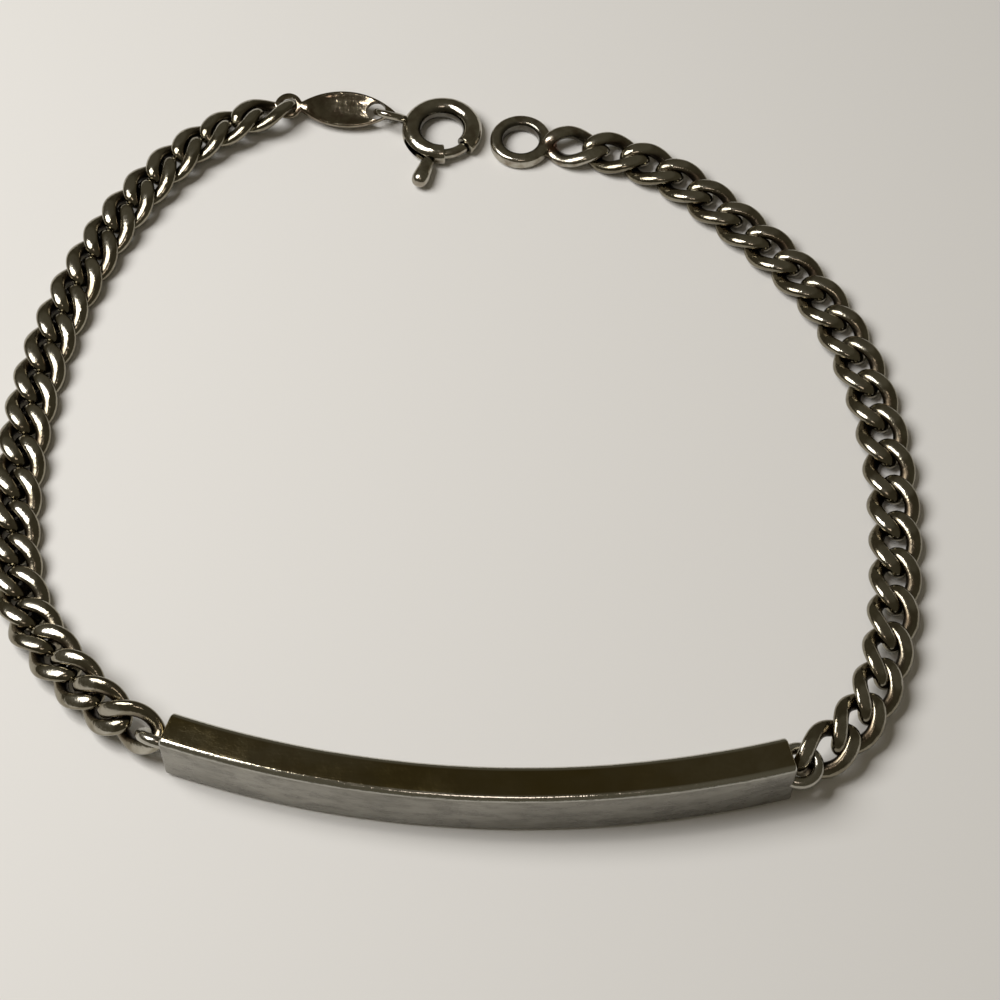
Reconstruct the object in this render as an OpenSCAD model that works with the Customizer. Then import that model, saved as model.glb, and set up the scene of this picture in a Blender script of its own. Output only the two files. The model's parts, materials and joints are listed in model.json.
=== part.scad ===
// Identity bracelet: a curved bar standing on its edge, two curb chains, a leaf-shaped tag,
// a spring ring with its bolt, and an end ring. It lies open on a flat surface.
// The origin is the middle of the bar's lower edge, +Y points to the clasp and +Z up.

/* [Bar] */
// Length of the bar along its middle line
bar_l = 38.8; // [32:0.2:44]
// Width of the bar, which stands upright
bar_h = 4.4; // [3.8:0.1:5.4]
// Thickness of the bar
bar_t = 2.4; // [1.6:0.1:3]
// Radius of the bend, at the middle of the thickness
bar_r = 66; // [50:1:90]
// Rounding of the long edges
bar_round = 0.35; // [0.1:0.05:0.5]
// Wire of the eye soldered to each end of the bar
bar_eye_wire = 0.75; // [0.65:0.05:0.8]
// Width of that eye over the wire
bar_eye_w = 3.1; // [3:0.1:3.4]
// How far the eye stands out from the end of the bar
bar_eye_out = 2.2; // [2.1:0.1:2.8]
// How far the left eye is turned up at the front
left_eye_roll = 58; // [50:1:64]
// How far the right eye is turned up at the front
right_eye_roll = 0; // [-4:1:10]

/* [Curb chain] */
// Length of a link over the wire
link_l = 4.85; // [4.6:0.05:5.4]
// Width of a link over the wire
link_w = 3.4; // [3.3:0.05:3.8]
// Wire of a link
link_wire = 0.82; // [0.7:0.02:0.86]
// Height of the chain between its filed flats
link_flat = 1.45; // [1.25:0.05:1.65]
// Twist of a link's ends, out of its plane
link_twist = 54; // [50:1:58]
// Clearance between two links
link_gap = 0.1; // [0.05:0.01:0.15]
// How far each link of the left chain is pushed together
left_slack = 0.58; // [0.4:0.02:0.6]
// How far each link of the right chain is pushed together
right_slack = 0.26; // [0.1:0.02:0.4]
// How far the first left link leans
first_lean = -60; // [-66:1:-50]
// Links over which the left chain's lean fades away
left_fade = 4; // [3:1:5]
// Links over which the right chain's lean, and the lean at the tag, fade away
right_fade = 7; // [6:1:8]
// Links over which each chain comes down from the bar's eye
rise_links = 5; // [4:1:6]

/* [Tag] */
// Length of the leaf shape
tag_l = 7.4; // [6.6:0.1:9]
// Width of the leaf shape
tag_w = 2.8; // [2.6:0.1:3.4]
// Thickness at the middle of its dome
tag_t = 0.85; // [0.75:0.05:0.95]
// Thickness at the holes
tag_rim_t = 0.5; // [0.4:0.05:0.6]
// Radius of the lug that holds the chain
lug_r = 1; // [0.95:0.05:1.2]
// Radius of the hole in the lug
lug_hole_r = 0.64; // [0.6:0.01:0.66]
// Radius of the hole at the clasp's side
tag_hole_r = 0.72; // [0.7:0.01:0.74]
// Distance of that hole from the tip
tag_hole_in = 1.45; // [1.4:0.05:1.8]
// Distance of the lug's hole beyond the other tip
lug_out = 0.5; // [0.3:0.05:0.6]
// How far the tag rolls about its length
tag_roll = 18; // [12:1:24]

/* [Spring ring] */
// Radius of the ring's middle line
clasp_r = 2.22; // [2.1:0.02:3]
// Tube of the ring
clasp_tube = 1.44; // [1.4:0.02:1.6]
// Angle at which the mouth starts
mouth_start = -82; // [-90:1:-76]
// Angle that the mouth spans
mouth_span = 43; // [38:1:48]
// Wire of the bolt
bolt_wire = 0.76; // [0.7:0.01:0.8]
// Running clearance round the bolt
bolt_play = 0.06; // [0.03:0.01:0.08]
// How far the bolt enters the tube across the mouth
bolt_seat = 5; // [3:1:7]
// How far the thumb knob turns
bolt_travel = 44; // [40:1:46]
// Angle of the thumb knob, closed
knob_angle = -106; // [-108:1:-104]
// Thickness of the thumb knob
knob_d = 1.2; // [0.9:0.05:1.3]
// Length of the thumb knob outside the tube
knob_l = 2.4; // [1.6:0.1:3]
// Stem between the bolt and the knob
stem_d = 0.56; // [0.5:0.02:0.6]
// Wire of the eye soldered to the ring
clasp_eye_wire = 0.54; // [0.5:0.02:0.6]
// Radius of that eye's middle line
clasp_eye_r = 1.02; // [0.98:0.01:1.06]
// Angle of that eye on the ring
clasp_eye_angle = 165; // [155:1:170]
// Lean of that eye
clasp_eye_lean = -50; // [-55:1:-45]

/* [End ring] */
// Radius of the ring's middle line
end_r = 1.75; // [1.7:0.05:2.2]
// Width of the ring's band, seen from above
end_w = 0.98; // [0.8:0.02:1.2]
// Height of the ring's band
end_h = 1; // [0.8:0.05:1.3]
// Rounding of the band
end_round = 0.35; // [0.2:0.05:0.38]
// How far the first link is sunk into its solder
end_solder = 0.45; // [0.3:0.05:0.6]

/* [Layout] */
// Gap between the spring ring and the end ring, as it lies
open_gap = 0.65; // [0.4:0.05:4]
// Direction from the spring ring to the end ring
open_angle = -6; // [-12:1:0]

/* [Hidden] */
$fn = 48;
silver = "#8d897b";
dark_silver = "#6f6b5c";

// Where the spring ring lies, seen from above
clasp_at = [-5.2, 53.7];
// The way of each chain from the bar's end, seen from above
left_way = [
    [-20, 3.1], [-22.8, 4.4], [-26.3, 7.7], [-30, 12.5], [-31.6, 18.5], [-31.9, 25.3],
    [-31.6, 31.3], [-30.3, 37.8], [-27.9, 44.4], [-24.6, 49.8], [-20.8, 53.3], [-16.5, 55.2]
];
right_way = [
    [20, 3.1], [22.5, 4.7], [24.4, 7.3], [25.7, 11], [26.4, 15.5], [26.7, 21], [26.4, 27],
    [25.1, 33.2], [22.6, 39.3], [19, 43.6], [14.6, 47.9], [9.9, 51.5], [2.9, 53.1]
];

// Bar
bar_half = bar_l / bar_r * 90 / PI;
bar_end = [bar_r * sin(bar_half), bar_r * (1 - cos(bar_half))];
bar_z = bar_h / 2;
bar_eye_r = (bar_eye_w - bar_eye_wire) / 2;

// Link: half length and half width of the wire's middle line
link_a = (link_l - link_wire) / 2;
link_b = (link_w - link_wire) / 2;
link_reach = link_wire + link_gap;
link_pitch = 2 * link_a - link_reach;
link_z = link_flat / 2;
link_steps = 16;
wire_sides = 6;

// Spring ring
clasp_z = clasp_tube / 2;
clasp_out = clasp_r + clasp_tube / 2;
bolt_bore = bolt_wire / 2 + bolt_play;
seat_depth = bolt_seat + 3;
bolt_back = 35;
mouth_end = mouth_start + mouth_span;
bore_end = knob_angle - bolt_back - bolt_travel - 3 + 360;
knob_off = 0.12;
slot_w = stem_d + 2 * bolt_play;
stem_half = asin(slot_w / 2 / (clasp_r + bolt_bore));
clasp_eye_wall = 0.03;
clasp_eye_from = clasp_r + bolt_bore + clasp_eye_wall + clasp_eye_r + clasp_eye_wire / 2;
clasp_eye_low = clasp_eye_r * sin(abs(clasp_eye_lean)) + clasp_eye_wire / 2;
clasp_eye_z = max(clasp_z, clasp_eye_low);

// Tag: its clasp-side hole is on the far end of the spring ring's eye
eye_in_hole = 0.11;
tag_hole_at = clasp_at + (clasp_eye_from + clasp_eye_r + eye_in_hole) * turned(clasp_eye_angle);
tag_angle = 178;
lug_from = tag_l / 2 + lug_out;
lug_at = tag_hole_at + (tag_l / 2 - tag_hole_in + lug_from) * turned(tag_angle);
wire_in_lug = 0.12;
last_at = lug_at - wire_in_lug * turned(tag_angle);

// End ring
end_out = end_r + end_w / 2;
end_at = clasp_at + (clasp_out + open_gap + end_out) * turned(open_angle);
end_link_angle = -1;
end_link_at = end_at + (end_out + link_wire / 2 - end_solder) * turned(end_link_angle);

function turned(angle) = [cos(angle), sin(angle)];

// A smooth curve through the points of a way
way_steps = 16;
function catmull(a, b, c, d, u) =
    (2 * b + (c - a) * u + (2 * a - 5 * b + 4 * c - d) * u * u + (3 * b - a - 3 * c + d) * u * u * u) / 2;
function smoothed(way) =
    let (
        last = len(way) - 1,
        e = concat([2 * way[0] - way[1]], way, [2 * way[last] - way[last - 1]])
    )
    concat(
        [for (i = [0:last - 1]) for (k = [0:way_steps - 1])
            catmull(e[i], e[i + 1], e[i + 2], e[i + 3], k / way_steps)],
        [way[last]]
    );

// The same way with its two ends moved, and what lies between them moved in step
function moved_way(way, from, to) =
    let (last = len(way) - 1)
    [for (i = [0:last]) way[i] + (from - way[0]) * (1 - i / last) + (to - way[last]) * i / last];

// The length run at each point of a path, beside its x and y
function run_lengths(path) =
    [for (i = 0, s = 0; i < len(path); s = s + (i + 1 < len(path) ? norm(path[i + 1] - path[i]) : 0), i = i + 1) s];
function ruled(path) =
    let (run = run_lengths(path))
    [[for (i = [0:len(path) - 1]) [run[i], path[i].x]], [for (i = [0:len(path) - 1]) [run[i], path[i].y]]];
function whole(rule) = rule[0][len(rule[0]) - 1][0];
function at(rule, s) = [lookup(s, rule[0]), lookup(s, rule[1])];

// The first link's end hooks inside the bar's eye, at this distance from the end of the bar
hook_gap = 0.32;
hook = bar_eye_out - bar_eye_wire / 2 - (bar_eye_wire + link_wire) / 2 - hook_gap;
hook_at = bar_end + hook * turned(bar_half);
left_rule = ruled(smoothed(moved_way(left_way, [-hook_at.x, hook_at.y], last_at)));
right_rule = ruled(smoothed(moved_way(right_way, hook_at, end_link_at)));

// Both ends of every link lie on the way, so the last one ends where the way does
left_run = whole(left_rule) - 2 * link_a;
left_count = floor(left_run / (link_pitch - left_slack)) + 1;
left_pitch = left_run / (left_count - 1);
right_run = whole(right_rule) - 2 * link_a;
right_count = floor(right_run / (link_pitch - right_slack)) + 1;
right_pitch = right_run / (right_count - 1);

// The first right link leans until its end stands square to the eye, and the last left one to the lug
right_first = 90 - right_eye_roll - link_twist;
tag_lean = link_twist + tag_roll - 90;
function fade(i, links) = max(0, 1 - i / links);
function left_lean(i) = first_lean * fade(i, left_fade) + tag_lean * fade(left_count - 1 - i, right_fade);
function right_lean(i) = right_first * fade(i, right_fade);

// Height of the way, s along it: the bar's eye at first, then as low as the links can lie
function lying(lean) = max([for (i = [0:link_steps - 1], k = [0:wire_sides - 1])
    let (p = link_point(360 * i / link_steps, 360 * k / wire_sides)) p.y * sin(lean) + p.z * cos(lean)]);
function high(s, pitch, lean, links) =
    let (f = fade(s / pitch, rise_links), far = max(0, s - 2 * link_a) / pitch)
    f * bar_z + (1 - f) * lying(lean * fade(far, links));
function left_high(s) = max(
    high(s, left_pitch, first_lean, left_fade),
    lying(tag_lean * fade(max(0, left_count - 1 - s / left_pitch), right_fade))
);
function right_high(s) = high(s, right_pitch, right_first, right_fade);

// The tag hangs between the last left link and the spring ring's eye
lug_z = left_high(whole(left_rule));
tag_span = tag_l / 2 - tag_hole_in + lug_from;
tag_slope = asin((lug_z - clasp_eye_z) / tag_span);
tag_middle = tag_span / 2 - (tag_l / 2 - tag_hole_in);

// A link's wire: its middle line, and one point of the ring of points round it
function link_line(t) =
    let (tilt = -link_twist * cos(t))
    [link_a * cos(t), link_b * sin(t) * cos(tilt), link_b * sin(t) * sin(tilt)];
function link_point(t, turn) =
    let (
        p = link_line(t),
        along = unit(link_line(t + 1) - link_line(t - 1)),
        out = unit(p - along * (p * along)),
        q = p + link_wire / 2 * (cos(turn) * out + sin(turn) * cross(along, out))
    )
    [q.x, q.y, min(link_z, max(-link_z, q.z))];
function unit(v) = v / norm(v);

module link() {
    points = [for (i = [0:link_steps - 1]) for (k = [0:wire_sides - 1])
        link_point(360 * i / link_steps, 360 * k / wire_sides)];
    function id(i, k) = (i % link_steps) * wire_sides + k % wire_sides;
    polyhedron(
        points,
        [for (i = [0:link_steps - 1]) for (k = [0:wire_sides - 1]) for (half = [0, 1])
            half == 0 ? [id(i, k), id(i + 1, k + 1), id(i, k + 1)] : [id(i, k), id(i + 1, k), id(i + 1, k + 1)]],
        convexity = 4
    );
}

// One link with both ends on a way, its near end at s and its ends at these heights
module laid_link(rule, s, near_z, far_z, lean) {
    near = at(rule, s);
    far = at(rule, s + 2 * link_a);
    translate([(near.x + far.x) / 2, (near.y + far.y) / 2, (near_z + far_z) / 2])
        rotate([0, asin((near_z - far_z) / link_a / 2), atan2(far.y - near.y, far.x - near.x)])
            rotate([lean, 0, 0])
                link();
}

module bar_section() {
    translate([bar_r - bar_t / 2 + bar_round, 0]) square([bar_t - 2 * bar_round, bar_h]);
    translate([bar_r - bar_t / 2, bar_round]) square([bar_t, bar_h - 2 * bar_round]);
    for (x = [bar_r - bar_t / 2 + bar_round, bar_r + bar_t / 2 - bar_round], y = [bar_round, bar_h - bar_round])
        translate([x, y]) circle(bar_round);
}

// A ring of wire, its back sunk into the end of the bar
module bar_eye() {
    translate([bar_eye_out - bar_eye_w / 2, 0, 0])
        rotate_extrude() translate([bar_eye_r, 0]) circle(d = bar_eye_wire);
}

module bar() {
    color(silver) {
        translate([0, bar_r, 0]) rotate_extrude(angle = 2 * bar_half, start = -90 - bar_half, $fn = 360) bar_section();
        translate([bar_end.x, bar_end.y, bar_z]) rotate([-right_eye_roll, 0, bar_half]) bar_eye();
        translate([-bar_end.x, bar_end.y, bar_z]) rotate([left_eye_roll, 0, 180 - bar_half]) bar_eye();
    }
}

module chain_left() {
    color(dark_silver)
        for (i = [0:left_count - 1]) let (s = i * left_pitch)
            laid_link(left_rule, s, left_high(s), left_high(s + 2 * link_a), left_lean(i));
}

module chain_right() {
    color(dark_silver)
        for (i = [0:right_count - 2]) let (s = i * right_pitch)
            laid_link(right_rule, s, right_high(s), right_high(s + 2 * link_a), right_lean(i));
}

// Tag: the sag of its dome gives one radius across the leaf and one along it
tag_sag = (tag_t - tag_rim_t) / 2;
tag_across_r = (tag_w * tag_w / 4 + tag_sag * tag_sag) / 2 / tag_sag;
tag_along_r = (tag_l * tag_l / 4 + tag_sag * tag_sag) / 2 / tag_sag;
tag_side_r = (tag_l * tag_l / 4 + tag_w * tag_w / 4) / tag_w;

// A ring so large that the crown of its outside is one face of the tag
module tag_dome() {
    translate([0, 0, tag_t / 2 - tag_along_r])
        rotate([90, 0, 0])
            rotate_extrude($fn = 720) translate([tag_along_r - tag_across_r, 0]) circle(tag_across_r);
}

module tag() {
    color(dark_silver)
        translate([(lug_at.x + tag_hole_at.x) / 2, (lug_at.y + tag_hole_at.y) / 2, (lug_z + clasp_eye_z) / 2])
            rotate([0, tag_slope, tag_angle - 180]) rotate([tag_roll, 0, 0]) translate([tag_middle, 0, 0])
        difference() {
            union() {
                intersection() {
                    translate([0, tag_side_r - tag_w / 2, 0]) cylinder(h = 2 * tag_t, r = tag_side_r, center = true, $fn = 240);
                    translate([0, tag_w / 2 - tag_side_r, 0]) cylinder(h = 2 * tag_t, r = tag_side_r, center = true, $fn = 240);
                    tag_dome();
                    mirror([0, 0, 1]) tag_dome();
                }
                translate([-lug_from, 0, 0]) cylinder(h = tag_rim_t, r = lug_r, center = true);
            }
            translate([-lug_from, 0, 0]) cylinder(h = 2 * tag_t, r = lug_hole_r, center = true);
            translate([tag_l / 2 - tag_hole_in, 0, 0]) cylinder(h = 2 * tag_t, r = tag_hole_r, center = true);
        }
}

// A stretch of tube or wire that follows the spring ring
module clasp_arc(r, from, to) {
    rotate_extrude(angle = to - from, start = from) translate([clasp_r, 0]) circle(r);
}

module clasp_eye() {
    rotate([0, 0, clasp_eye_angle])
        translate([clasp_eye_from, 0, clasp_eye_z - clasp_z])
            rotate([-clasp_eye_lean, 0, 0])
                rotate_extrude() translate([clasp_eye_r, 0]) circle(d = clasp_eye_wire);
}

module clasp_ring() {
    color(silver) translate([clasp_at.x, clasp_at.y, clasp_z])
        difference() {
            union() {
                clasp_arc(clasp_tube / 2, mouth_end, mouth_start + 360);
                clasp_eye();
            }
            clasp_arc(bolt_bore, bore_end, mouth_start + 361);
            clasp_arc(bolt_bore, mouth_end - 1, mouth_end + seat_depth);
            rotate_extrude(angle = bolt_travel + 2 * stem_half, start = knob_angle - bolt_travel - stem_half)
                translate([clasp_r, -slot_w / 2]) square([clasp_tube, slot_w]);
        }
}

module clasp_bolt() {
    color(silver) translate([clasp_at.x, clasp_at.y, clasp_z]) {
        clasp_arc(bolt_wire / 2, knob_angle - bolt_back, mouth_end + bolt_seat);
        rotate([0, 0, knob_angle]) rotate([0, 90, 0]) {
            translate([0, 0, clasp_r]) cylinder(h = clasp_tube / 2 + knob_off + knob_d / 2, d = stem_d);
            translate([0, 0, clasp_out + knob_off]) cylinder(h = knob_l - knob_d / 2 - knob_off, d = knob_d);
            translate([0, 0, clasp_out + knob_l - knob_d / 2]) sphere(d = knob_d);
        }
    }
}

module end_section() {
    translate([end_r - end_w / 2 + end_round, 0]) square([end_w - 2 * end_round, end_h]);
    translate([end_r - end_w / 2, end_round]) square([end_w, end_h - 2 * end_round]);
    for (x = [end_r - end_w / 2 + end_round, end_r + end_w / 2 - end_round], y = [end_round, end_h - end_round])
        translate([x, y]) circle(end_round);
}

module end_ring() {
    color(dark_silver) {
        translate([end_at.x, end_at.y, 0]) rotate_extrude() end_section();
        laid_link(right_rule, right_run, link_z, link_z, 0);
    }
}

bar();
chain_left();
chain_right();
tag();
clasp_ring();
clasp_bolt();
end_ring();
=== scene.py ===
import json
import math
import bmesh
import bpy
import numpy as np
from mathutils import Matrix, Vector, noise


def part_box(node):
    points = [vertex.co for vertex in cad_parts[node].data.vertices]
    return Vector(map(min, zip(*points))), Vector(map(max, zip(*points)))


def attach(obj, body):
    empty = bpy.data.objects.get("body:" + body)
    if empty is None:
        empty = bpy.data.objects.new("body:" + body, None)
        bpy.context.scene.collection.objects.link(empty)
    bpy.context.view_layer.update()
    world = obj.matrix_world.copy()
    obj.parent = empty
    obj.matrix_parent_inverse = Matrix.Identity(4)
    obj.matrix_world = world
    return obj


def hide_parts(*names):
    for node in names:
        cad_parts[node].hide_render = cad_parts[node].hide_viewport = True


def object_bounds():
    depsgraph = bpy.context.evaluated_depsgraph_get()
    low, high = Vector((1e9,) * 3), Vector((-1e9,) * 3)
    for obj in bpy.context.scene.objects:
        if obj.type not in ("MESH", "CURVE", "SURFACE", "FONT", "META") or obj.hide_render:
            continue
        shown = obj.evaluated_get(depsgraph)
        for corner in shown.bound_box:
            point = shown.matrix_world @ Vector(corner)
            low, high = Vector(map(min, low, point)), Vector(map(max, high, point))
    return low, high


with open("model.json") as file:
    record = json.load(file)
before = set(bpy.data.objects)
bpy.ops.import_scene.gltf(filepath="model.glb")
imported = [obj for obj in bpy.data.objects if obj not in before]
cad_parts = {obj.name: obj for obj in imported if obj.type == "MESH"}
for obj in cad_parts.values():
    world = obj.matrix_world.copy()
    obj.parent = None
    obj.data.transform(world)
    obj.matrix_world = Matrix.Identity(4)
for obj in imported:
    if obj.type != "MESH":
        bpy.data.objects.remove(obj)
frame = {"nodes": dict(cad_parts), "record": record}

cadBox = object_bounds()
mm = 0.001


# One value among a shader's nodes: Python's operators on it add Math nodes
class Socket:
    def __init__(self, shader, out):
        self.shader, self.out = shader, out

    def maths(self, operation, first, second):
        return self.shader.node("ShaderNodeMath", {"operation": operation}, {0: first, 1: second})

    def __add__(self, other):
        return self.maths("ADD", self, other)

    def __radd__(self, other):
        return self.maths("ADD", other, self)

    def __sub__(self, other):
        return self.maths("SUBTRACT", self, other)

    def __rsub__(self, other):
        return self.maths("SUBTRACT", other, self)

    def __mul__(self, other):
        return self.maths("MULTIPLY", self, other)

    def __rmul__(self, other):
        return self.maths("MULTIPLY", other, self)

    def __pow__(self, other):
        return self.maths("POWER", self, other)

    def __rpow__(self, other):
        return self.maths("POWER", other, self)


# A material, and the nodes that its methods add
class Shader:
    def __init__(self, name):
        self.material = bpy.data.materials.new(name)
        self.material.use_nodes = True
        self.tree = self.material.node_tree
        self.surface = next(n for n in self.tree.nodes if n.type == "BSDF_PRINCIPLED")

    # Any node: its type, its settings, the values or links of its sockets, and the output to give back
    def node(self, kind, settings, links, out=0):
        node = self.tree.nodes.new(kind)
        for name, setting in settings.items():
            setattr(node, name, setting)
        for name, value in links.items():
            self.plug(node.inputs[name], value)
        return Socket(self, node.outputs[out])

    def plug(self, entry, value):
        if isinstance(value, Socket):
            self.tree.links.new(value.out, entry)
        else:
            entry.default_value = value

    # The object's own coordinates: a scale under 1 draws a pattern out along that axis
    def place(self, scale=(1, 1, 1), turn=(0, 0, 0)):
        coords = self.node("ShaderNodeTexCoord", {}, {}, "Object")
        return self.node("ShaderNodeMapping", {}, {"Vector": coords, "Scale": scale, "Rotation": turn})

    # Noise of a size in metres, from 0 below low to 1 above high
    def noise(self, size, detail, rough=0.5, place=None, low=0.35, high=0.65):
        links = {"Vector": place or self.place(), "Scale": 1 / size, "Detail": detail, "Roughness": rough}
        cloud = self.node("ShaderNodeTexNoise", {}, links)
        links = {"Value": cloud, "From Min": low, "From Max": high}
        return self.node("ShaderNodeMapRange", {"interpolation_type": "SMOOTHSTEP"}, links)

    # Colours: sockets 6 and 7 of the node are its two colours, and output 2 is the mixed one
    def mix(self, mask, first, second):
        first, second = (c if isinstance(c, Socket) else (*c, 1.0) for c in (first, second))
        return self.node("ShaderNodeMix", {"data_type": "RGBA"}, {0: mask, 6: first, 7: second}, 2)

    # A mark from 0 to 1 that the mesh carries
    def marked(self, name):
        return self.node("ShaderNodeAttribute", {"attribute_name": name}, {}, "Fac")

    def bump(self, height, depth):
        return self.node("ShaderNodeBump", {}, {"Height": height, "Distance": depth, "Strength": 1.0})

    def finish(self, **entries):
        for name, value in entries.items():
            self.plug(self.surface.inputs[name.replace("_", " ")], value)
        return self.material


print("materials")
silverTone = {
    "bright": (0.5, 0.475, 0.41),    # where wear keeps it polished
    "dull": (0.31, 0.285, 0.22),     # an even grey-olive tarnish
    "wire": (0.2, 0.175, 0.125),     # dark olive tarnish on the links' wire
    "brown": (0.17, 0.115, 0.07),    # brown tarnish in patches
    "olive": (0.19, 0.145, 0.05),    # the bar's narrow sides
    "black": (0.012, 0.01, 0.007),   # sulphide in the recesses, and painted shade there
    "edge": (0.66, 0.65, 0.6),       # the bar's edges, polished by wear and whitened as a painted highlight
    "shadedSmudge": (0.17, 0.16, 0.135),   # grey smudges on the bar's rubbed faces, darkened as painted shade
    "solder": (0.24, 0.11, 0.06),    # fire stain round a solder joint
    "rubbedAndShaded": (0.34, 0.325, 0.285),  # scuffed, where a hand or a sleeve rubs it, and darkened as painted shade of the floor these faces reflect
}
silverGrain = {
    "speck": 0.35,                   # mm, specks in the tarnish
    "along": 0.16, "across": 0.2,    # mm, width of the scratches, most of them along the bar
    "smear": 0.9, "shade": 5,        # mm, small and large smudges on the rubbed faces
    "relief": 0.008,                 # mm, depth of the specks and scratches
}


# Curb links: polished filed flats, tarnished wire, and black where they meet, sulphide with painted
# shade.
# Their finish has the sizes of clouds, specks and scratches in mm, the roughness of clean silver,
# and the relief's depth in mm
def chainSilver(name, tone, finish):
    s = Shader(name)
    flat, sulphideAndShade = s.marked("flat"), s.marked("sulphideAndShade")
    cloud = s.noise(finish["cloud"] * mm, 4.0)
    speck = s.noise(finish["speck"] * mm, 3.0)
    base = s.mix(cloud * 0.7 + speck * 0.25, tone["dull"], tone["wire"])
    # brown, then black, on the wire's inside: tarnish, and painted shade where the links shade each other
    base = s.mix(sulphideAndShade * (0.5 + 0.4 * cloud), base, tone["brown"])
    base = s.mix(sulphideAndShade ** 2.0 * 0.9, base, tone["black"])
    base = s.mix(flat * (0.9 - 0.4 * cloud), base, tone["bright"])
    scratch = s.noise(finish["scratch"] * mm, 2.0, place=s.place((1, 0.2, 1), (0, 0, 0.6)))
    rough = finish["rough"] + 0.07 * cloud + 0.2 * sulphideAndShade + flat * (0.05 * scratch + 0.01)
    normal = s.bump(speck * 0.7 + scratch * 0.3, finish["relief"] * mm)
    return s.finish(Metallic=1.0, Base_Color=base, Roughness=rough, Normal=normal)


# The other pieces: tarnish in clouds, brown in patches, long fine scratches. Their finish has the
# clouds' size in mm, how brown, rough and scratched they are, and how strongly each mark of the mesh
# shows: black inside, sulphide with painted shade; fire stain at the solder; and for the bar, rubbed
# faces darkened as painted shade, and polished edges whitened as a painted highlight
def plainSilver(name, tone, finish):
    s, grain = Shader(name), silverGrain
    cloud = s.noise(finish["patch"] * mm, 5.0, 0.6)
    speck = s.noise(grain["speck"] * mm, 3.0)
    stain = s.noise(finish["patch"] * 0.7 * mm, 4.0, 0.55, low=0.45, high=0.7)
    base = s.mix(cloud * 0.7 + speck * 0.2, tone["bright"], tone["dull"])
    base = s.mix(stain * finish["brown"], base, tone["brown"])
    drawn = s.place((0.1, 1, 1), (0, 0, 0.1))
    along = s.noise(grain["along"] * mm, 2.0, place=drawn, low=0.5, high=0.8)
    drawn = s.place((1, 0.2, 1), (0, 0.3, 0.5))
    across = s.noise(grain["across"] * mm, 2.0, place=drawn, low=0.62, high=0.9)
    scratch = (along * 0.7 + across * 0.3) * finish["scratches"]
    rough = finish["rough"] + 0.08 * cloud
    if "sulphideAndShade" in finish:
        # black where the mesh marks an inside: sulphide, and painted shade
        base = s.mix(s.marked("sulphideAndShade") * finish["sulphideAndShade"], base, tone["black"])
    if "solder" in finish:
        base = s.mix(s.marked("solder") * finish["solder"] * (0.5 + 0.5 * cloud), base, tone["solder"])
    if "rubbedAndShaded" in finish:
        # the broad faces: scuffed, and darkened as painted shade of the floor they reflect
        rubbedAndShaded = s.marked("rubbedAndShaded") * finish["rubbedAndShaded"]
        smear = s.noise(grain["smear"] * mm, 6.0, 0.7, place=s.place((0.4, 1, 1)), low=0.32, high=0.63)
        shade = s.noise(grain["shade"] * mm, 3.0, 0.5, place=s.place((0.4, 1, 1)), low=0.3, high=0.6)
        base = s.mix((1.0 - rubbedAndShaded) * (0.6 + 0.35 * shade), base, tone["olive"])
        scuffed = s.mix(smear * (0.95 - 0.45 * shade), tone["shadedSmudge"], tone["rubbedAndShaded"])
        base = s.mix(rubbedAndShaded, base, scuffed)
        # the long edges: polished, and whitened as a painted highlight
        base = s.mix(s.marked("edge") * finish["edge"], base, tone["edge"])
        rough = rough + rubbedAndShaded * (0.1 + 0.16 * smear)
        scratch = scratch * (0.25 + rubbedAndShaded)
    return s.finish(
        Metallic=1.0,
        Base_Color=base,
        Roughness=rough + 0.14 * scratch,
        Normal=s.bump(speck * 0.5 + scratch, grain["relief"] * mm),
    )


# Points in mm rolled about X, then turned about Z, both in degrees, then moved to a place
def placed(points, at=(0, 0, 0), turn=0.0, roll=0.0):
    turned = Matrix.Rotation(math.radians(turn), 3, "Z") @ Matrix.Rotation(math.radians(roll), 3, "X")
    return np.asarray(points) @ np.array(turned).T + np.array(at)


# Faces over rows of points, each row closed; the rows close too, or end in caps
def skin(rows, loop=False):
    n, m = len(rows), len(rows[0])
    points = np.concatenate(rows)
    last = n if loop else n - 1
    faces = [(i * m + j, i * m + (j + 1) % m, ((i + 1) % n) * m + (j + 1) % m, ((i + 1) % n) * m + j)
             for i in range(last) for j in range(m)]
    if not loop:
        faces += [tuple(range(m - 1, -1, -1)), tuple(range((n - 1) * m, n * m))]
    return points, faces


# Several skins as one mesh
def joined(*skins):
    points, faces, start = [], [], 0
    for p, f in skins:
        points.append(p)
        faces += [tuple(v + start for v in face) for face in f]
        start += len(p)
    return np.concatenate(points), faces


# A wire ring: radius of its middle line, and its wire's diameter
def wireRing(radius, wire, steps=96, sides=28):
    u = np.linspace(0, 2 * math.pi, sides, endpoint=False)
    rows = []
    for a in np.linspace(0, 2 * math.pi, steps, endpoint=False):
        r = radius + wire / 2 * np.cos(u)
        rows.append(np.stack([r * math.cos(a), r * math.sin(a), wire / 2 * np.sin(u)], -1))
    return skin(rows, True)


# A rectangle with rounded corners, inset by a depth, with so many points between two corners
def roundedSection(width, height, corner, inset=0.0, between=5):
    w, h, r = width / 2 - inset, height / 2 - inset, max(corner - inset, 0.02)
    corners, steps = ((1, 1), (-1, 1), (-1, -1), (1, -1)), 7

    def onCorner(k, degrees):
        x, y = corners[k % 4]
        a = math.radians(degrees)
        return x * (w - r) + r * math.cos(a), y * (h - r) + r * math.sin(a)

    points = []
    for k in range(4):
        points += [onCorner(k, 90 * k + 90 * i / steps) for i in range(steps + 1)]
        first, last = np.array(points[-1]), np.array(onCorner(k + 1, 90 * (k + 1)))
        points += [tuple(first + (last - first) * (i + 1) / (between + 1)) for i in range(between)]
    return np.array(points)


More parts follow.
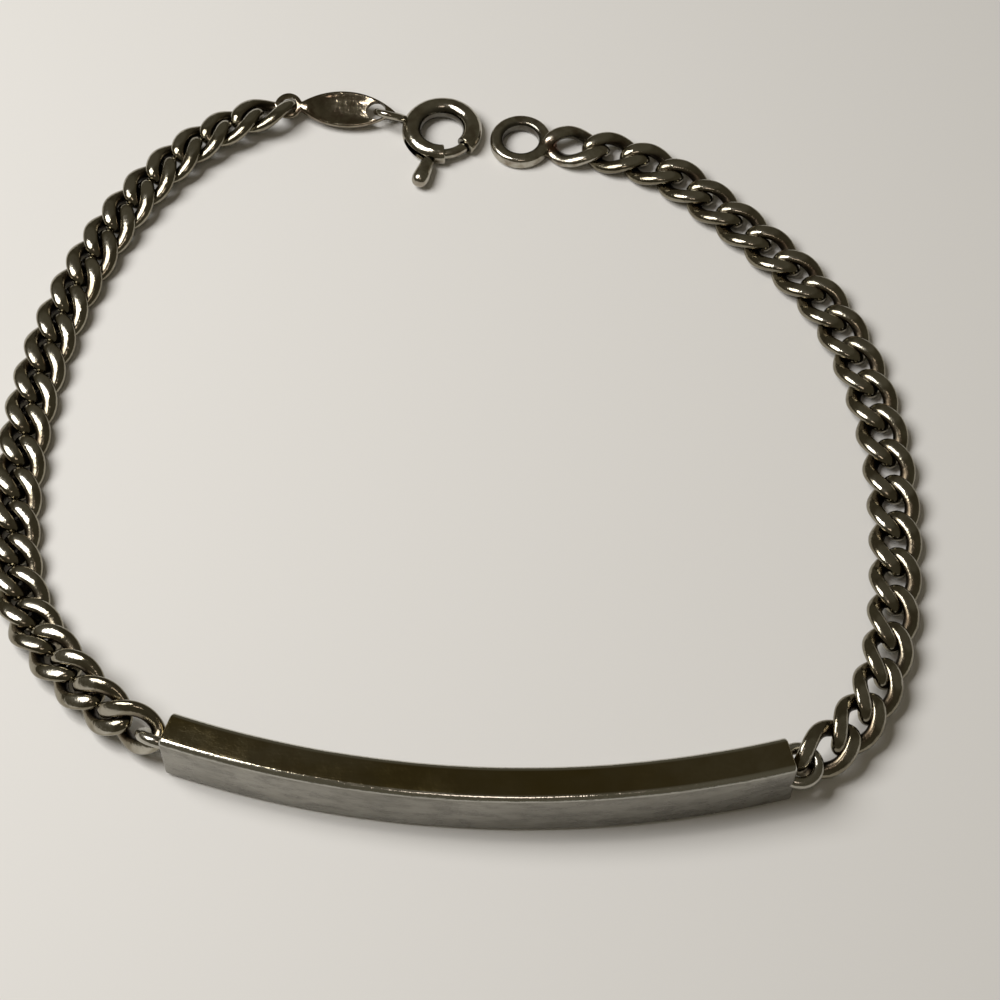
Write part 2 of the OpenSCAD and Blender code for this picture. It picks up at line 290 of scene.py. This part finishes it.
# A mesh whose faces all look outward
def outwardMesh(name, points, faces):
    mesh = bpy.data.meshes.new(name)
    mesh.from_pydata([tuple(p) for p in points], [], faces)
    work = bmesh.new()
    work.from_mesh(mesh)
    bmesh.ops.recalc_face_normals(work, faces=work.faces)
    work.to_mesh(mesh)
    work.free()
    return mesh


# A finished piece with its marks and material, which rides on a body and stands for CAD nodes
def meshPiece(name, points, faces, marks, material, body, replaced):
    mesh = outwardMesh(name, points, faces)
    for mark, values in marks.items():
        carried = mesh.attributes.new(mark, "FLOAT", "POINT")
        carried.data.foreach_set("value", np.asarray(values, dtype=np.float32))
    mesh.shade_smooth()
    mesh.set_sharp_from_angle(angle=math.radians(40))   # edges sharper than this stay crisp
    mesh.materials.append(material)
    piece = bpy.data.objects.new(name, mesh)
    bpy.context.scene.collection.objects.link(piece)
    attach(piece, body)
    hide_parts(*replaced)


# Soft hollows and bumps from handling, of a depth and size in mm, along the way inward
def worn(points, inward, depth, size):
    hollow = np.array([noise.noise(Vector(p) / size) for p in points])
    return points - inward * (hollow * depth)[:, None]


print("links")
link = {
    "length": 5.1, "width": 3.56, "wire": 1.05,   # mm over the wire, and the wire
    "flat": 1.45,                                 # mm between the filed flats
    "pressed": 0.7,                               # its height as a share of a link of round wire
    "twist": 58,                                  # degrees
    "worn": 0.04,                                 # mm over which a flat's edge is rounded
    "crown": 0.16,                                # mm that a flat is higher in its middle
    "polish": 0.1,                                # mm filed away where a flat is fully bright
    "rubFrom": 0.45, "rubOver": 0.4,              # shares of its height over which rubbing lifts the inside's sulphide and painted shade
    "around": 96, "sides": 28,                    # steps along the wire and round it
    "finish": {"cloud": 1.7, "speck": 0.3, "scratch": 0.14, "rough": 0.09, "relief": 0.006},
}


# One link about its own middle, in mm: points, faces and two marks, for the filed flats and the inside,
# which is black with sulphide and painted shade
def linkShape(way):
    a, b = (way["length"] - way["wire"]) / 2, (way["width"] - way["wire"]) / 2
    top = way["flat"] / 2 / way["pressed"]

    def middle(t):
        tilt = -math.radians(way["twist"]) * np.cos(t)
        return np.stack([a * np.cos(t), b * np.sin(t) * np.cos(tilt), b * np.sin(t) * np.sin(tilt)], -1)

    t = np.linspace(0, 2 * math.pi, way["around"], endpoint=False)[:, None]
    turn = np.linspace(0, 2 * math.pi, way["sides"], endpoint=False)[None, :]
    core = middle(t)
    along = middle(t + 0.01) - middle(t - 0.01)
    along /= np.linalg.norm(along, axis=-1, keepdims=True)
    out = core - along * (core * along).sum(-1, keepdims=True)
    out /= np.linalg.norm(out, axis=-1, keepdims=True)
    side = np.cross(along, out)
    wire = core + way["wire"] / 2 * (np.cos(turn)[..., None] * out + np.sin(turn)[..., None] * side)
    z, soft, cut = wire[..., 2], way["worn"], top - way["crown"]
    over = np.maximum(np.abs(z) - cut, 0)   # the wire beyond the file's cut
    flat = np.clip(over / way["polish"], 0, 1)
    for sign in (1, -1):   # the cut, with a soft edge
        z = sign * (cut - soft * np.logaddexp(0, (cut - sign * z) / soft))
    z = z + np.sign(z) * over / over.max() * way["crown"]
    rub = np.clip((np.abs(z) / top - way["rubFrom"]) / way["rubOver"], 0, 1)
    sulphideAndShade = np.clip(0.25 - 1.1 * np.cos(turn) - 0.9 * rub, 0, 1)   # black on the wire's inside, fading up towards the flats: sulphide, and painted shade where the links shade each other
    points, faces = skin(list(np.stack([wire[..., 0], wire[..., 1], z * way["pressed"]], -1)), True)
    return points, faces, flat.reshape(-1), sulphideAndShade.reshape(-1)


# The solids of a node that aren't joined to each other, each as an array of its points in mm
def looseSolids(node):
    mesh = frame["nodes"][node].data
    points = np.array([v.co for v in mesh.vertices]) / mm
    keys, perMm = {}, 1e4   # points that agree to a ten thousandth of a mm are one
    same = [keys.setdefault(tuple(np.round(p * perMm).astype(int)), i) for i, p in enumerate(points)]
    parent = list(range(len(points)))

    def root(i):
        while parent[i] != i:
            parent[i] = parent[parent[i]]
            i = parent[i]
        return i

    for face in mesh.polygons:
        first = root(same[face.vertices[0]])
        for v in face.vertices[1:]:
            parent[root(same[v])] = first
            first = root(first)
    groups = {}
    for i in set(same):
        groups.setdefault(root(i), []).append(points[i])
    return [np.array(g) for g in groups.values()]


# Middle and axes of a solid, its longest axis first, from the spread of its points
def ownAxes(points):
    middle = points.mean(0)
    axes = np.linalg.eigh(np.cov((points - middle).T))[1]
    long, wide = axes[:, 2], axes[:, 1]
    return middle, np.stack([long, wide, np.cross(long, wide)], 1)


linkPoints, linkFaces, linkFlat, linkSulphideAndShade = linkShape(link)
chainMaterial = chainSilver("tarnishedCurb", silverTone, link["finish"])
for node in ("chain_left", "chain_right"):
    places = [ownAxes(solid) for solid in looseSolids(node)]
    print("  " + node, len(places), "links")
    points, faces = joined(*[(linkPoints @ axes.T + middle, linkFaces) for middle, axes in places])
    marks = {"flat": np.tile(linkFlat, len(places)), "sulphideAndShade": np.tile(linkSulphideAndShade, len(places))}
    name = node.replace("_", "") + "Links"
    meshPiece(name, points * mm, faces, marks, chainMaterial, "bracelet", [node])


print("bar")
bar = {
    "length": 38.8, "height": 4.4, "thick": 2.4,  # mm, along the bend, upright and through
    "bend": 66,                                   # mm, radius at the middle
    "edge": 0.42, "endEdge": 0.22,                # mm, rounding of the long edges and the ends
    "eyeWire": 0.75, "eyeWidth": 3.1,             # mm, the wire and the outer width of an eye
    "eyeOut": 2.2,                                # mm that an eye stands out
    "leftRoll": 58, "rightRoll": 0,               # degrees that each eye is turned
    "dent": 0.018, "dentSize": 3.0,               # mm, depth and size of the soft hollows
    "face": 0.16, "faceFade": 0.12,               # mm inside a broad face: where its rubbed, painted-shade tone starts, its fade
    "edgeIn": 0.4, "edgeDown": 0.3,               # mm that a polished edge, whitened as a painted highlight, takes up on its two sides
    "edgeFade": 0.1,                              # mm over which it ends
    "eyeTone": 0.45,                              # how far the eyes take the broad faces' rubbed, painted-shade tone and the edges' painted highlight, up to 1 as on the faces
    "finish": {"patch": 3.0, "brown": 0.4, "rough": 0.08, "scratches": 1.0, "rubbedAndShaded": 1.0, "edge": 0.9},
}


# The bent bar as rows of its section, half the angle that it spans, and the marks of its wear, painted
# shade and painted highlight
def barShape(way):
    half = way["length"] / way["bend"] / 2
    cut = way["endEdge"]
    stops = [(half - cut / way["bend"] * (1 - math.sin(a)), cut * (1 - math.cos(a)))
             for a in np.linspace(math.pi / 2, 0, 8)]
    spans = [(-a, inset) for a, inset in stops]
    inside = half - cut / way["bend"]
    spans += [(a, 0.0) for a in np.linspace(-inside, inside, 181)[1:-1]]
    spans += stops[::-1]
    rows = []
    for a, inset in spans:
        section = roundedSection(way["thick"], way["height"], way["edge"], inset)
        r = way["bend"] + section[:, 0]
        rows.append(np.stack([r * math.sin(a), way["bend"] - r * math.cos(a),
                              section[:, 1] + way["height"] / 2 + 0 * r], -1))
    points, faces = skin(rows)
    angle = np.arctan2(points[:, 0], way["bend"] - points[:, 1])
    core = np.stack([way["bend"] * np.sin(angle), way["bend"] * (1 - np.cos(angle)),
                     np.full(len(points), way["height"] / 2)], -1)
    inward = core - points
    inward /= np.maximum(np.linalg.norm(inward, axis=-1, keepdims=True), 1e-6)
    across = np.hypot(points[:, 0], way["bend"] - points[:, 1]) - way["bend"]
    wall = np.abs(across) - way["thick"] / 2   # both are 0 at the surface and below 0 inside
    rise = np.abs(points[:, 2] - way["height"] / 2) - way["height"] / 2
    edge = np.clip((wall + way["edgeIn"]) / way["edgeFade"], 0, 1)
    edge = edge * np.clip((rise + way["edgeDown"]) / way["edgeFade"], 0, 1)
    marks = {"rubbedAndShaded": np.clip((wall + way["face"]) / way["faceFade"], 0, 1), "edge": edge}
    return worn(points, inward * [1, 1, 0.3], way["dent"], way["dentSize"]), faces, half, marks


# The two wire eyes, sunk into the bar's ends
def barEyes(way, half):
    eyes = []
    for side, roll in ((1, -way["rightRoll"]), (-1, way["leftRoll"])):
        points, faces = wireRing((way["eyeWidth"] - way["eyeWire"]) / 2, way["eyeWire"])
        points = points + [way["eyeOut"] - way["eyeWidth"] / 2, 0, 0]
        turn = math.degrees(half) if side > 0 else 180 - math.degrees(half)
        at = (side * way["bend"] * math.sin(half), way["bend"] * (1 - math.cos(half)), way["height"] / 2)
        eyes.append((placed(points, at, turn, roll), faces))
    return eyes


barPoints, barFaces, barHalf, barMarks = barShape(bar)
points, faces = joined((barPoints, barFaces), *barEyes(bar, barHalf))
marks = {name: np.concatenate([mark, np.full(len(points) - len(mark), bar["eyeTone"])])
         for name, mark in barMarks.items()}
barMaterial = plainSilver("wornBar", silverTone, bar["finish"])
meshPiece("barWithEyes", points * mm, faces, marks, barMaterial, "bracelet", ["bar"])


print("end ring")
endRing = {
    "band": 0.92, "height": 1.0, "edge": 0.3,     # mm
    "solder": 0.5, "solderCore": 0.16,            # mm, radius of the solder and of its middle line
    "solderFlat": 0.8, "solderOut": 0.05,         # its flattening, and mm that it lies outside the ring
    "solderInner": 0.3,                           # how far the solder is blackened, up to 1
    "stain": 1.2,                                 # reach of the fire stain, as a share of the solder
    "darkOver": 0.25, "darkMost": 0.9,            # mm over which the hole's wall blackens, tarnish and painted shade, and how far
    "finish": {"patch": 1.4, "brown": 0.7, "rough": 0.15, "scratches": 0.4, "sulphideAndShade": 0.8, "solder": 0.9},
}


# The flat ring, the link soldered to it, the solder between them, and their marks
def endRingShape(way):
    low, high = (np.array(c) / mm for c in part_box("end_ring"))
    radius = (high[1] - low[1]) / 2
    at = np.array([low[0] + radius, (low[1] + high[1]) / 2, 0])
    section = roundedSection(way["band"], way["height"], way["edge"], between=3)
    r, z = radius - way["band"] / 2 + section[:, 0], section[:, 1] + way["height"] / 2
    ring = skin([at + np.stack([r * math.cos(a), r * math.sin(a), z], -1)
                 for a in np.linspace(0, 2 * math.pi, 128, endpoint=False)], True)
    solid = np.concatenate(looseSolids("end_ring"))
    far = solid[np.argmax(solid[:, 0])]
    outward = np.array([far[0] - at[0], far[1] - at[1], 0])
    outward /= np.linalg.norm(outward)
    middle = np.array([far[0], far[1], link["flat"] / 2]) - outward * link["length"] / 2
    axes = np.stack([outward, np.cross([0, 0, 1], outward), [0, 0, 1]], 1)
    core, flat = way["solderCore"], way["solderFlat"]
    blob, blobFaces = wireRing(core, 2 * way["solder"] - 2 * core, 24, 24)
    blob = blob * [flat, 1.0, flat] + at + outward * (radius + way["solderOut"])
    blob = blob + [0, 0, way["height"] / 2]
    points, faces = joined(ring, (linkPoints @ axes.T + middle, linkFaces), (blob, blobFaces))
    wall = radius - way["band"] / 2 - np.linalg.norm(ring[0][:, :2] - at[:2], axis=1)
    # the ring's inner wall is blackened: tarnish, and painted shade inside the hole
    ringSulphideAndShade = np.clip(wall / way["darkOver"] - 0.5, 0, way["darkMost"])
    sulphideAndShade = np.concatenate([ringSulphideAndShade, linkSulphideAndShade, np.full(len(blob), way["solderInner"])])
    near = np.linalg.norm(points - blob.mean(0), axis=1)
    solder = np.clip(1.5 - near / way["solder"] / way["stain"], 0, 1)
    return points, faces, {"sulphideAndShade": sulphideAndShade, "solder": solder}


points, faces, marks = endRingShape(endRing)
endMaterial = plainSilver("darkEnd", silverTone, endRing["finish"])
meshPiece("endRingWithLink", points * mm, faces, marks, endMaterial, "bracelet", ["end_ring"])


print("tag")
tag = {
    "length": 7.4, "width": 2.8,                  # mm, the leaf
    "thick": 0.85, "rim": 0.5,                    # mm, at the middle of the dome and at the holes
    "lug": 1.0, "lugOut": 0.5, "lugHole": 0.64,   # mm, radius, how far out it is, and radius of its hole
    "blend": 5,                                   # how sharply the lug meets the leaf
    "hole": 0.72, "holeIn": 1.45,                 # mm, radius and distance from the tip
    "edge": 0.07,                                 # mm, rounding round the holes
    "tip": 0.3,                                   # mm, half width at which the ends start to thin
    "dish": 0.34, "dishTo": 2.8,                  # mm, depth of the hollow in its top, and its reach
    "square": 2.5,                                # from 2, a round section, to more, a squarer one
    "tone": {"bright": (0.36, 0.32, 0.25), "dull": (0.2, 0.17, 0.12), "brown": (0.14, 0.09, 0.06)},
    "finish": {"patch": 1.1, "brown": 0.7, "rough": 0.07, "scratches": 0.2},
}


# The leaf and its lug as one skin, along its own x axis, before its holes are made
def tagShape(way):
    half, wide, lugAt = way["length"] / 2, way["width"] / 2, -way["length"] / 2 - way["lugOut"]
    low, high = lugAt - way["lug"], half
    bend = (half ** 2 + wide ** 2) / 2 / wide
    turn = np.linspace(0, 2 * math.pi, 96, endpoint=False)
    across, side = np.cos(turn), np.sign(np.sin(turn))
    rows = []
    for u in np.linspace(0.02, math.pi - 0.02, 150):
        x = (low + high) / 2 - (high - low) / 2 * math.cos(u)
        leaf = math.sqrt(bend ** 2 - x ** 2) - bend + wide if abs(x) < half else 0.0
        lug = math.sqrt(max(way["lug"] ** 2 - (x - lugAt) ** 2, 0.0))
        w = (leaf ** way["blend"] + lug ** way["blend"]) ** (1 / way["blend"])
        dome = max(0.0, 1 - (x / half) ** 2)
        h = (way["rim"] + (way["thick"] - way["rim"]) * dome ** 0.5) / 2
        h *= math.sqrt(1 - (1 - min(w / way["tip"], 1)) ** 2)
        z = side * h * (1 - np.abs(across) ** way["square"]) ** (1 / way["square"])
        hollow = max(0.0, 1 - (x / way["dishTo"]) ** 4) ** 2
        z -= (side > 0) * way["dish"] * hollow * (1 - np.abs(across) ** 4) ** 2
        rows.append(np.stack([x + 0 * z, w * across, z], -1))
    return skin(rows)


# Cuts shapes out of a skin, rounds the new edges, and gives back its points and faces
def carved(points, faces, cuts, edge=0.0):
    def shown(name, p, f):
        body = bpy.data.objects.new(name, outwardMesh(name, p, f))
        bpy.context.scene.collection.objects.link(body)
        return body

    body = shown("blank", points, faces)
    cutters = [shown("cutter", *cut) for cut in cuts]
    for cutter in cutters:
        away = body.modifiers.new("cut", "BOOLEAN")
        away.operation, away.solver, away.object = "DIFFERENCE", "EXACT", cutter
    if edge:
        soft = body.modifiers.new("edge", "BEVEL")
        soft.width, soft.segments = edge, 3
        soft.limit_method, soft.angle_limit = "ANGLE", math.radians(50)
    bpy.context.view_layer.update()
    mesh = bpy.data.meshes.new_from_object(body.evaluated_get(bpy.context.evaluated_depsgraph_get()))
    result = np.array([v.co for v in mesh.vertices]), [tuple(f.vertices) for f in mesh.polygons]
    for spare in [body] + cutters:
        bpy.data.objects.remove(spare)
    return result


# A cutter for a hole, which reaches well past the tag's top and underside
def roundPin(x, radius):
    t = np.linspace(0, 2 * math.pi, 72, endpoint=False)
    return skin([np.stack([x + radius * np.cos(t), radius * np.sin(t), 0 * t + z], -1) for z in (-2, 2)])


# Where the tag lies: the leaf's middle and its axes, its lug to the left and its top up
def tagPlace(way):
    solid = np.concatenate(looseSolids("tag"))
    middle, axes = ownAxes(solid)
    axes[:, 0] *= np.sign(axes[0, 0])
    axes[:, 2] *= np.sign(axes[2, 2])
    axes[:, 1] = np.cross(axes[:, 2], axes[:, 0])
    tip = ((solid - middle) @ axes[:, 0]).max()
    return middle + axes[:, 0] * (tip - way["length"] / 2), axes


middle, axes = tagPlace(tag)
holes = [roundPin(tag["length"] / 2 - tag["holeIn"], tag["hole"]),
         roundPin(-tag["length"] / 2 - tag["lugOut"], tag["lugHole"])]
points, faces = carved(*tagShape(tag), holes, tag["edge"])
tagMaterial = plainSilver("brownTag", tag["tone"], tag["finish"])
meshPiece("domedTag", (points @ axes.T + middle) * mm, faces, {}, tagMaterial, "bracelet", ["tag"])


print("spring ring and bolt")
clasp = {
    "radius": 2.22, "tube": 1.44, "lip": 0.1,     # mm, the ring, its tube, rounding of the tube's ends
    "mouth": (-39, 278),                          # degrees, the tube's ends
    "bore": 0.44,                                 # mm, radius of the bores for the bolt
    "bores": ((172, 279), (-40, -31)),            # degrees, their ends
    "slot": (-157.3, -98.7), "slotWide": 0.68,    # degrees and mm, the way of the knob's stem
    "dent": 0.012, "dentSize": 0.9,               # mm, depth and size of the soft hollows
    "dark": 0.6, "darkFade": 0.1,                 # mm from the tube's middle line, where the bores' black starts: painted shade, with tarnish
    "holeDark": 0.8,                              # how far the tube's side towards the ring's hole is blackened as painted shade with tarnish, up to 1
    "eyeWire": 0.54, "eyeRadius": 1.02,           # mm, the eye's wire and the radius of its middle line
    "eyeAt": 165, "eyeFrom": 3.98,                # degrees, and mm from the ring's middle to the eye's
    "eyeUp": 0.331, "eyeLean": 50,                # mm and degrees
    "bolt": 0.76, "boltEnd": 0.97,                # mm, its wire, and how round its ends are, up to 1
    "from": -141, "to": -34, "knobAt": -106,      # degrees: the bolt's ends and its thumb knob
    "stem": 0.56, "stemTo": 3.3,                  # mm, its wire, and how far out it goes
    "knob": [                                     # mm from the ring's middle, and mm of radius there
        (3.06, 0.4), (3.12, 0.48), (3.4, 0.51), (3.9, 0.56), (4.4, 0.61), (4.75, 0.62),
        (5.0, 0.57), (5.18, 0.46), (5.28, 0.32), (5.33, 0.17), (5.34, 0.03),
    ],
    "ringFinish": {"patch": 1.8, "brown": 0.5, "rough": 0.1, "scratches": 0.4, "sulphideAndShade": 0.9},
    "boltFinish": {"patch": 1.4, "brown": 0.4, "rough": 0.16, "scratches": 0.4},
}


# A rod bent round Z: radii of its middle line and of its section, its ends in degrees, how round they are
def bentRod(radius, thick, ends, lip=0.0, sides=45, steps=150):
    first, last = (math.radians(a) for a in ends)
    u = np.linspace(0, 2 * math.pi, sides, endpoint=False)
    corner = [(lip * (1 - math.cos(a)), lip * (1 - math.sin(a))) for a in np.linspace(0, math.pi / 2, 7)]
    corner = corner if lip else [(0, 0)]
    stops = [(first + along / radius, thick - inset) for along, inset in corner]
    stops += [(a, thick) for a in np.linspace(first + lip / radius, last - lip / radius, steps)[1:-1]]
    stops += [(last - along / radius, thick - inset) for along, inset in corner[::-1]]
    rows = []
    for a, r in stops:
        d = radius + r * np.cos(u)
        rows.append(np.stack([d * math.cos(a), d * math.sin(a), r * np.sin(u)], -1))
    return skin(rows)


# Round sections along x with these places and radii
def lathe(profile, sides=40):
    u = np.linspace(0, 2 * math.pi, sides, endpoint=False)
    return skin([np.stack([x + 0 * u, r * np.cos(u), r * np.sin(u)], -1) for x, r in profile])


# The tube with its bores and the slot for the knob's stem, its eye, and how dark each point is painted:
# shade with tarnish in the bores and towards the hole
def springRing(way):
    radius, tube, half = way["radius"], way["tube"] / 2, way["slotWide"] / 2
    corners = ((radius, -half), (radius + 2 * tube, -half), (radius + 2 * tube, half), (radius, half))
    slot = skin([np.array([(d * math.cos(a), d * math.sin(a), z) for d, z in corners])
                 for a in np.radians(np.linspace(*way["slot"], 40))])
    bores = [bentRod(radius, way["bore"], ends, sides=36, steps=60) for ends in way["bores"]]
    points, faces = carved(*bentRod(radius, tube, way["mouth"], way["lip"]), bores + [slot])
    reach = np.linalg.norm(points[:, :2], axis=1)   # from the ring's middle
    core = points * [1, 1, 0] * (radius / reach)[:, None]
    depth = np.linalg.norm(points - core, axis=1)   # from the tube's middle line
    outside = (depth > tube - 0.02)[:, None]        # the bores and the slot stay true
    dented = worn(points, (core - points) / depth[:, None] * outside, way["dent"], way["dentSize"])
    eyeTurn = math.radians(way["eyeAt"])
    at = (way["eyeFrom"] * math.cos(eyeTurn), way["eyeFrom"] * math.sin(eyeTurn), way["eyeUp"])
    eye, eyeFaces = wireRing(way["eyeRadius"], way["eyeWire"], 72, 24)
    eye = placed(eye, at, way["eyeAt"], way["eyeLean"])
    # black in the bores and on the tube's side towards the hole: painted shade, with tarnish
    bored = np.clip((way["dark"] - depth) / way["darkFade"], 0, 1)
    hole = np.clip((radius - reach) / tube * 2 - 0.9, 0, way["holeDark"])
    sulphideAndShade = np.concatenate([np.maximum(bored, hole), np.zeros(len(eye))])
    return joined((dented, faces), (eye, eyeFaces)), sulphideAndShade


# The bolt about the ring's middle, with its stem and its thumb knob
def boltShape(way):
    wire, stem = way["bolt"] / 2, way["stem"] / 2
    rod = bentRod(way["radius"], wire, (way["from"], way["to"]), way["boltEnd"] * wire, 32, 62)
    turned = [lathe(way["knob"]), lathe([(way["radius"], stem), (way["stemTo"], stem)], 28)]
    return joined(rod, *[(placed(p, turn=way["knobAt"]), f) for p, f in turned])


pivot = np.array(frame["record"]["behaviour"]["joints"][0]["pos_m"]) / mm
points, faces = boltShape(clasp)
boltMaterial = plainSilver("darkBolt", silverTone, clasp["boltFinish"])
meshPiece("boltAndKnob", (points + pivot) * mm, faces, {}, boltMaterial, "trigger", ["clasp_bolt"])
(points, faces), sulphideAndShade = springRing(clasp)
points, marks = (points + pivot) * mm, {"sulphideAndShade": sulphideAndShade}
ringMaterial = plainSilver("darkRing", silverTone, clasp["ringFinish"])
meshPiece("springRingTube", points, faces, marks, ringMaterial, "bracelet", ["clasp_ring"])


print("floor, light and camera")
floor = {"size": 1.6, "middle": (0, 0.02), "colour": (0.76, 0.75, 0.73), "roughness": 0.85}
bpy.ops.mesh.primitive_plane_add(size=floor["size"], location=(*floor["middle"], cadBox[0][2]))
ground = bpy.context.object
ground.name = "paleFloor"
paint = Shader("paleFloor")
ground.data.materials.append(paint.finish(Base_Color=(*floor["colour"], 1), Roughness=floor["roughness"]))


# An object at a place in metres, which looks along a direction
def aimed(name, data, at, direction):
    holder = bpy.data.objects.new(name, data)
    holder.location = at
    holder.rotation_euler = direction.to_track_quat("-Z", "Y").to_euler()
    bpy.context.scene.collection.objects.link(holder)
    return holder


lights = {   # metres and watts
    "window": {"at": (-0.15, 0.035, 0.215), "size": 0.17, "watts": 0.62, "colour": (1.0, 0.985, 0.965)},
    "lamp": {"at": (-0.075, 0.045, 0.25), "size": 0.03, "watts": 0.06, "colour": (1.0, 0.95, 0.9)},
    "glow": {"at": (0.0, -0.09, 0.26), "size": 0.06, "watts": 0.025, "colour": (1.0, 0.86, 0.78)},
}
lit = (0, 0.025, 0)   # what the lights look at
for name, light in lights.items():
    lamp = bpy.data.lights.new(name, "AREA")
    lamp.shape, lamp.size = "DISK", light["size"]
    lamp.energy, lamp.color = light["watts"], light["colour"]
    aimed(name, lamp, light["at"], Vector(lit) - Vector(light["at"]))

room = {"colour": (0.1, 0.09, 0.064), "strength": 1.0}
world = bpy.data.worlds.new("room")
bpy.context.scene.world = world
world.use_nodes = True
background = world.node_tree.nodes["Background"]
background.inputs["Color"].default_value = (*room["colour"], 1)
background.inputs["Strength"].default_value = room["strength"]
bpy.context.scene.view_settings.view_transform = "Standard"

view = {
    "at": (4.26, -60.9, 136.4), "to": (0.46, 22.65, 0),   # mm
    "lens": 86.4, "sensor": 36,                           # mm
    "near": 0.005,                                        # metres
}
optics = bpy.data.cameras.new("camera")
optics.lens, optics.sensor_width, optics.clip_start = view["lens"], view["sensor"], view["near"]
direction = (Vector(view["to"]) - Vector(view["at"])) * mm
bpy.context.scene.camera = aimed("camera", optics, Vector(view["at"]) * mm, direction)

print("done")
